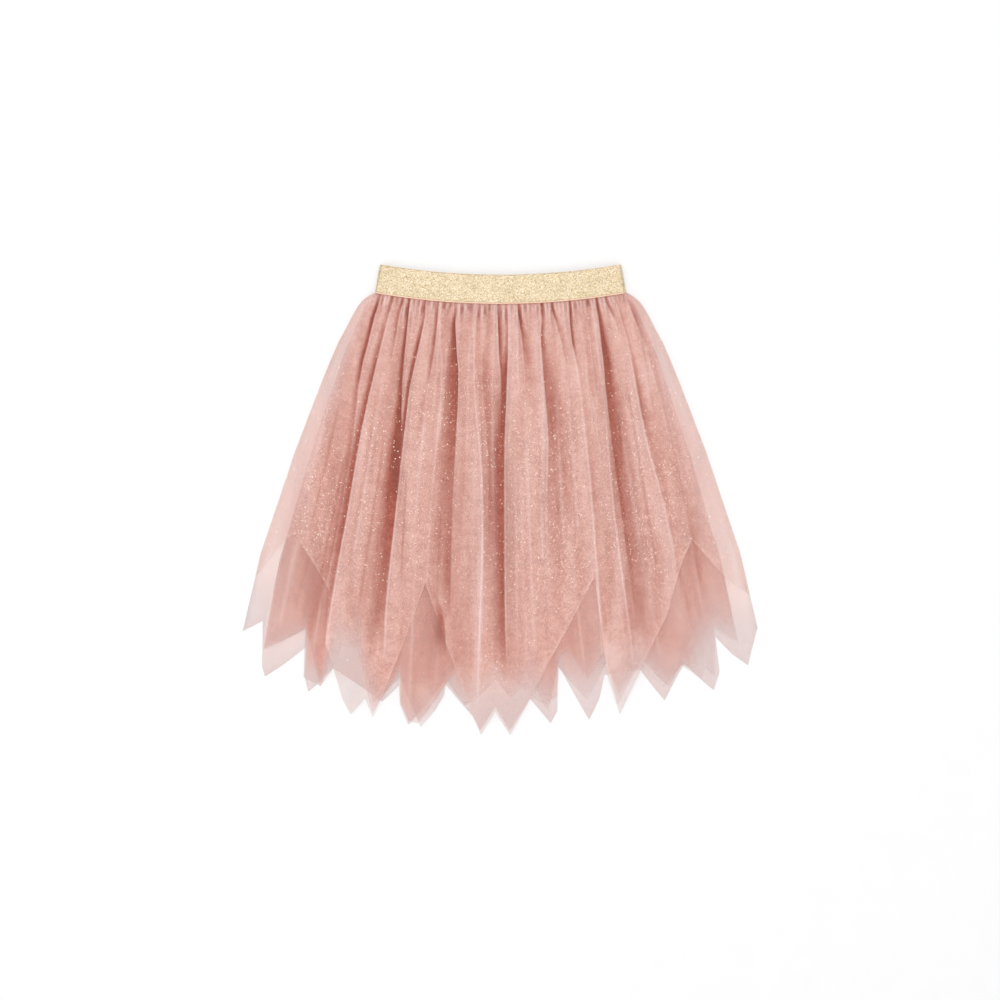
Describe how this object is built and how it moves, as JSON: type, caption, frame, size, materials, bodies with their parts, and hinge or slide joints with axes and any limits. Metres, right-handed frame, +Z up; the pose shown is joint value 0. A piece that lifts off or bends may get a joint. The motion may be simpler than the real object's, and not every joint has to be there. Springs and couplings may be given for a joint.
{
  "type": "tulle skirt",
  "caption": "Child's gathered tulle skirt laid flat on its back: glitter elastic waistband, sheer glitter tulle over plain tulle, pointed hem",
  "frame": {"origin": "middle of the skirt's bounding box on the surface it lies on", "axes": "+X across the skirt to the right as seen from above, +Y from the hem towards the waistband, +Z up off the surface"},
  "size_m": [0.4647, 0.4238, 0.0154],
  "materials": {
    "glitter_elastic": "light gold glitter elastic, sparkling",
    "glitter_tulle": "sheer dusty rose tulle with fine gold glitter dots",
    "plain_tulle": "sheer dusty rose tulle, soft and matt"
  },
  "bodies": {
    "root": {"waistband": "glitter_elastic", "outer_tulle_front": "glitter_tulle", "outer_tulle_back": "glitter_tulle", "under_tulle_front": "plain_tulle", "under_tulle_back": "plain_tulle"}
  },
  "joints": []
}
